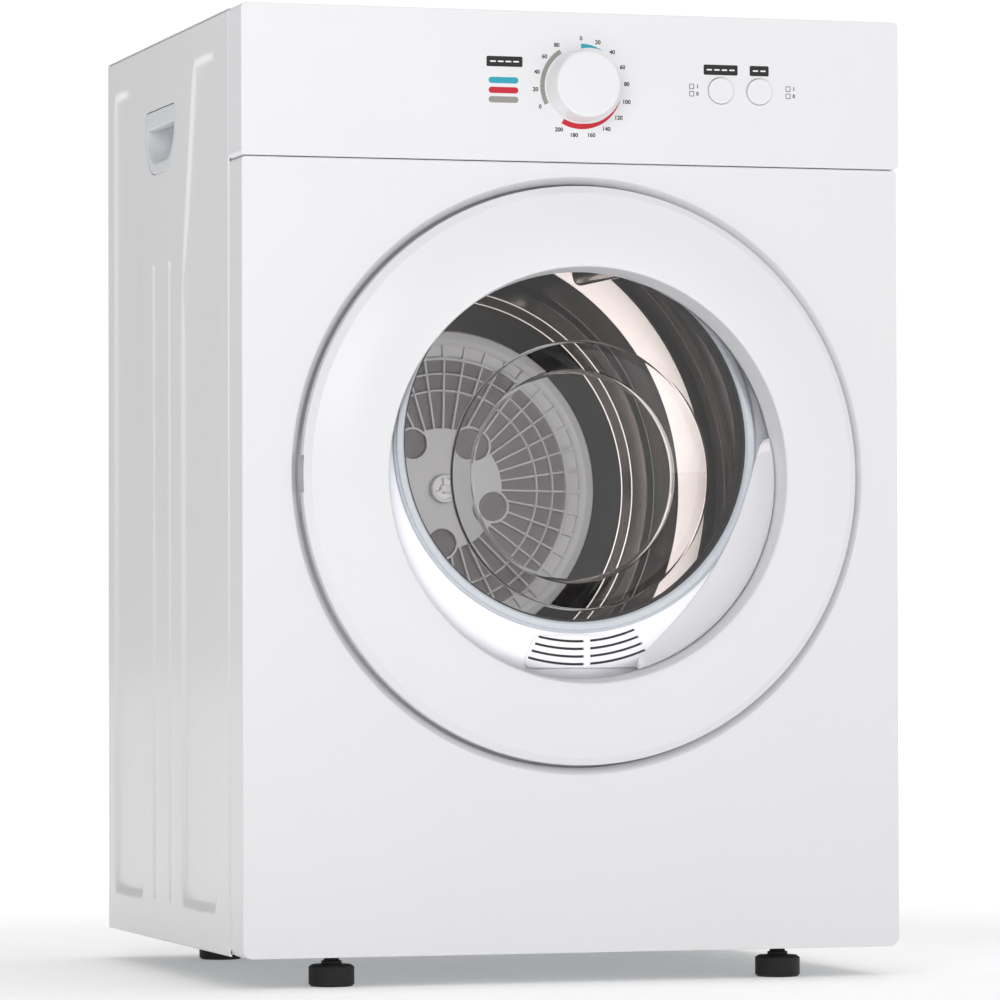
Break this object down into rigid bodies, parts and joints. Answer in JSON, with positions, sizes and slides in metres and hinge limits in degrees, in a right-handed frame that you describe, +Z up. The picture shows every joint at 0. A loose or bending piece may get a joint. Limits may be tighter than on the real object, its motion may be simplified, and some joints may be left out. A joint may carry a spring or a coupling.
{
  "type": "clothes dryer",
  "caption": "Front-loading vented tumble dryer: round door with a clear dished window, steel drum, belt drive, rear fan and exhaust, timer dial and two buttons.",
  "frame": {"origin": "on the floor under the middle of the overall width and depth", "axes": "+X to the machine's right seen from the front, +Y to the back, +Z up; the door faces -Y"},
  "size_m": [0.602, 0.587, 0.85],
  "materials": {
    "enamel": "semi-gloss baked white enamel on sheet steel",
    "white_plastic": "smooth moulded white ABS",
    "clear_window": "clear glossy window",
    "grey_seal": "matt light grey seal",
    "stainless": "polished stainless steel",
    "grey_plastic": "satin mid grey moulding",
    "black_rubber": "matt black rubber",
    "black_plastic": "matt black moulding",
    "steel": "zinc-plated steel",
    "galvanised": "galvanised sheet steel",
    "aluminium": "die-cast aluminium",
    "felt": "woven felt"
  },
  "bodies": {
    "cabinet": {"front_panel": "enamel", "side_panel_left": "enamel", "side_panel_right": "enamel", "top_cover": "enamel", "rear_panel": "enamel", "rear_cover": "enamel", "control_panel": "white_plastic", "front_collar": "white_plastic", "inlet_grille": "white_plastic", "handle_cup_left": "white_plastic", "handle_cup_right": "white_plastic", "exhaust_collar": "white_plastic", "mouth_gasket": "grey_seal", "drum_belt": "black_rubber", "fan_belt": "black_rubber", "cord_gland": "black_rubber", "timer_unit": "black_plastic", "switch_board": "black_plastic", "latch_receiver": "black_plastic", "air_duct": "black_plastic", "fan_housing": "black_plastic", "hinge_bracket": "steel", "motor_body": "steel", "base_pan": "galvanised", "rear_bulkhead": "galvanised", "rear_bearing": "galvanised", "heater_box": "galvanised", "motor_cradle": "galvanised", "idler_bracket": "galvanised", "heater_element": "aluminium", "front_felt": "felt", "rear_felt": "felt"},
    "door": {"door_outer_ring": "white_plastic", "door_inner_frame": "white_plastic", "door_seal": "grey_seal", "door_glass": "clear_window", "door_pull": "clear_window", "hinge_leaf": "steel", "door_latch_hook": "white_plastic"},
    "drum": {"drum_shell": "stainless", "drum_back": "stainless", "drum_lifter_1": "stainless", "drum_lifter_2": "stainless", "drum_lifter_3": "stainless", "drum_grille": "grey_plastic", "lint_filter": "felt", "drum_spider_shaft": "aluminium"},
    "filter_knob": {"filter_knob": "grey_plastic"},
    "fan": {"fan_impeller": "black_plastic"},
    "motor_rotor": {"motor_shaft": "steel", "fan_drive_pulley": "black_plastic"},
    "idler_arm": {"idler_arm": "steel"},
    "idler_pulley": {"idler_pulley": "black_plastic"},
    "timer_knob": {"timer_knob": "white_plastic"},
    "sensor_button": {"sensor_button": "white_plastic"},
    "mode_button": {"mode_button": "white_plastic"},
    "foot_front_left": {"foot_front_left": "black_rubber"},
    "foot_front_right": {"foot_front_right": "black_rubber"},
    "foot_rear_left": {"foot_rear_left": "black_rubber"},
    "foot_rear_right": {"foot_rear_right": "black_rubber"}
  },
  "joints": [
    {"name": "door_hinge", "type": "hinge", "parent": "cabinet", "child": "door", "pos_m": [-0.235, -0.2685, 0.4445], "axis": [0, 0, -1], "range_deg": [0, 100]},
    {"name": "drum_spin", "type": "hinge", "parent": "cabinet", "child": "drum", "pos_m": [0.005, -0.0165, 0.4445], "axis": [0, 1, 0], "continuous": true},
    {"name": "filter_knob_turn", "type": "hinge", "parent": "drum", "child": "filter_knob", "pos_m": [0.005, 0.1685, 0.4445], "axis": [0, 1, 0], "range_deg": [0, 90]},
    {"name": "fan_spin", "type": "hinge", "parent": "cabinet", "child": "fan", "pos_m": [0.005, 0.2185, 0.4445], "axis": [0, 1, 0], "continuous": true},
    {"name": "motor_spin", "type": "hinge", "parent": "cabinet", "child": "motor_rotor", "pos_m": [0.175, 0.1335, 0.113], "axis": [0, 1, 0], "continuous": true},
    {"name": "idler_arm_pivot", "type": "hinge", "parent": "cabinet", "child": "idler_arm", "pos_m": [-0.02, 0.0585, 0.088], "axis": [0, 1, 0], "range_deg": [0, 20], "stiffness_Nm_per_rad": 0.5, "springref_deg": -17.19},
    {"name": "idler_pulley_spin", "type": "hinge", "parent": "idler_arm", "child": "idler_pulley", "pos_m": [0.0405, 0.0495, 0.12786], "axis": [0, 1, 0], "continuous": true},
    {"name": "timer_knob_turn", "type": "hinge", "parent": "cabinet", "child": "timer_knob", "pos_m": [0.005, -0.2765, 0.785], "axis": [0, 1, 0], "continuous": true},
    {"name": "sensor_button_press", "type": "slide", "parent": "cabinet", "child": "sensor_button", "axis": [0, 1, 0], "range_m": [0, 0.003], "stiffness_N_per_m": 300, "springref_m": -0.002},
    {"name": "mode_button_press", "type": "slide", "parent": "cabinet", "child": "mode_button", "axis": [0, 1, 0], "range_m": [0, 0.003], "stiffness_N_per_m": 300, "springref_m": -0.002},
    {"name": "foot_front_left_level", "type": "slide", "parent": "cabinet", "child": "foot_front_left", "axis": [0, 0, 1], "range_m": [-0.012, 0]},
    {"name": "foot_front_right_level", "type": "slide", "parent": "cabinet", "child": "foot_front_right", "axis": [0, 0, 1], "range_m": [-0.012, 0]},
    {"name": "foot_rear_left_level", "type": "slide", "parent": "cabinet", "child": "foot_rear_left", "axis": [0, 0, 1], "range_m": [-0.012, 0]},
    {"name": "foot_rear_right_level", "type": "slide", "parent": "cabinet", "child": "foot_rear_right", "axis": [0, 0, 1], "range_m": [-0.012, 0]}
  ],
  "couplings": [
    {"joint": "fan_spin", "follows": "drum_spin", "ratio": 28.579},
    {"joint": "motor_spin", "follows": "drum_spin", "ratio": 28.579},
    {"joint": "idler_pulley_spin", "follows": "drum_spin", "ratio": -16.454}
  ]
}
